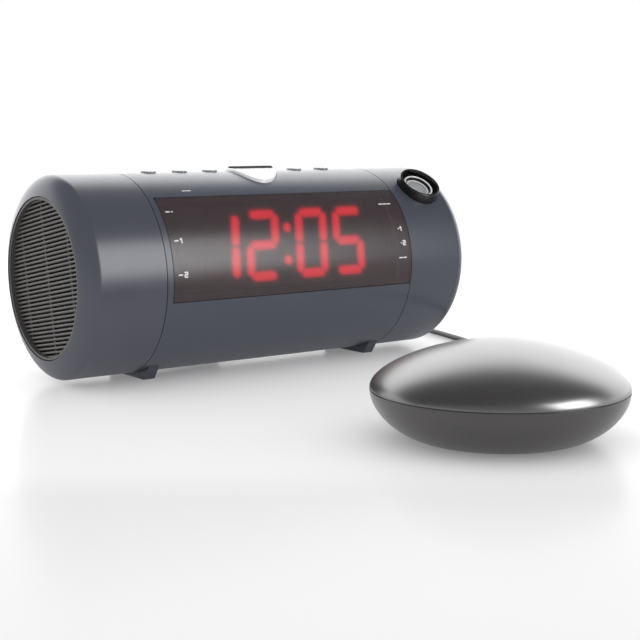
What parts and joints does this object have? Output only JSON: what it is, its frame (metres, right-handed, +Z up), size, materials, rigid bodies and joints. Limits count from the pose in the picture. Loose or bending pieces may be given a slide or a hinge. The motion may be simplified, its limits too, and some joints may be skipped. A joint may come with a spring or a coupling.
{
  "type": "bed shaker alarm clock",
  "caption": "Cylinder alarm clock with a curved display window, loudspeaker end, turning projector head and a wired lens-shaped bed shaker.",
  "frame": {"origin": "on the table, under the middle of the clock and shaker together", "axes": "+X along the barrel towards the projector, -Y out of the display, +Z up"},
  "size_m": [0.2668, 0.3715, 0.1045],
  "materials": {
    "housing": "satin",
    "button": "satin",
    "grille": "satin",
    "cloth": "woven",
    "window": "polished, smoked",
    "display": "matt",
    "lit": "glowing red",
    "unlit": "dim red",
    "snooze": "silver, polished",
    "grip": "matt",
    "board": "solder mask",
    "component": "matt",
    "steel": "plated",
    "basket": "black",
    "cone": "matt",
    "inner_plastic": "natural",
    "ring": "polished",
    "lens": "polished",
    "shaker": "satin, polished",
    "rubber": "matt",
    "cord": "satin",
    "battery": "satin",
    "washer": "plain"
  },
  "bodies": {
    "clock": {"barrel_shell": "housing", "left_end_cap": "housing", "rear_panel": "housing", "right_bulkhead": "inner_plastic", "pivot_washer": "washer", "left_foot": "rubber", "right_foot": "rubber", "speaker_grille": "grille", "grille_cloth": "cloth", "speaker_basket": "basket", "speaker_magnet": "steel", "speaker_cone": "cone", "speaker_screws": "steel", "display_window": "window", "display_block": "display", "display_board": "board", "lit_segments": "lit", "dark_segments": "unlit", "button_board": "board", "tact_switches": "component", "main_board": "board", "jack_board": "board", "aux_jack": "component", "shaker_jack": "component", "dc_inlet": "component", "volume_control": "component", "dimmer_switch": "component", "backup_battery": "battery", "shaker_plug": "rubber", "cord_lead": "cord", "cord_coil": "cord", "cord_tie": "component", "cord_tail": "cord", "cord_relief": "rubber", "shaker_base": "shaker", "shaker_top": "shaker", "shaker_screws": "steel", "shaker_motor": "steel", "motor_cradle": "inner_plastic"},
    "snooze": {"snooze_bar": "snooze", "snooze_grip": "grip"},
    "projector": {"projector_head": "housing", "hub_plate": "inner_plastic", "projector_tube": "component", "dial_slide": "lens", "projector_lamp": "component"},
    "focus": {"focus_ring": "ring", "focus_clip": "component"},
    "lens": {"lens_cell": "component", "projector_lens": "lens"},
    "volume": {"volume_wheel": "component"},
    "dimmer": {"dimmer_slider": "component"},
    "door": {"battery_door": "housing"},
    "weight": {"motor_shaft": "steel", "off_centre_weight": "steel"},
    "button_1": {"top_button_1": "button"},
    "button_2": {"top_button_2": "button"},
    "button_3": {"top_button_3": "button"},
    "button_4": {"top_button_4": "button"},
    "button_5": {"top_button_5": "button"}
  },
  "joints": [
    {"name": "snooze_press", "type": "slide", "parent": "clock", "child": "snooze", "axis": [0, 0, -1], "range_m": [0, 0.0015], "stiffness_N_per_m": 700, "springref_m": -0.0008},
    {"name": "button_1_press", "type": "slide", "parent": "clock", "child": "button_1", "axis": [0, 0, -1], "range_m": [0, 0.0008], "stiffness_N_per_m": 700, "springref_m": -0.0008},
    {"name": "button_2_press", "type": "slide", "parent": "clock", "child": "button_2", "axis": [0, 0, -1], "range_m": [0, 0.0008], "stiffness_N_per_m": 700, "springref_m": -0.0008},
    {"name": "button_3_press", "type": "slide", "parent": "clock", "child": "button_3", "axis": [0, 0, -1], "range_m": [0, 0.0008], "stiffness_N_per_m": 700, "springref_m": -0.0008},
    {"name": "button_4_press", "type": "slide", "parent": "clock", "child": "button_4", "axis": [0, 0, -1], "range_m": [0, 0.0008], "stiffness_N_per_m": 700, "springref_m": -0.0008},
    {"name": "button_5_press", "type": "slide", "parent": "clock", "child": "button_5", "axis": [0, 0, -1], "range_m": [0, 0.0008], "stiffness_N_per_m": 700, "springref_m": -0.0008},
    {"name": "projector_turn", "type": "hinge", "parent": "clock", "child": "projector", "pos_m": [0.09165, 0.11055, 0.052], "axis": [1, 0, 0], "range_deg": [-130, 50]},
    {"name": "focus_turn", "type": "hinge", "parent": "projector", "child": "focus", "pos_m": [0.09165, 0.07977, 0.0914], "axis": [0, -0.6157, 0.788], "range_deg": [-90, 90]},
    {"name": "lens_travel", "type": "slide", "parent": "projector", "child": "lens", "axis": [0, -0.6157, 0.788], "range_m": [-0.0014, 0.0014]},
    {"name": "volume_turn", "type": "hinge", "parent": "clock", "child": "volume", "pos_m": [-0.004, 0.15245, 0.058], "axis": [0, 0, 1], "range_deg": [-135, 135]},
    {"name": "dimmer_slide", "type": "slide", "parent": "clock", "child": "dimmer", "axis": [1, 0, 0], "range_m": [0, 0.003]},
    {"name": "battery_door_lift", "type": "slide", "parent": "clock", "child": "door", "axis": [0, 0.7071, -0.7071], "range_m": [0, 0.009]},
    {"name": "weight_spin", "type": "hinge", "parent": "clock", "child": "weight", "pos_m": [-0.0154, -0.10935, 0.0195], "axis": [1, 0, 0], "continuous": true}
  ],
  "couplings": [
    {"joint": "focus_turn", "follows": "lens_travel", "rad_per_m": 1122}
  ]
}
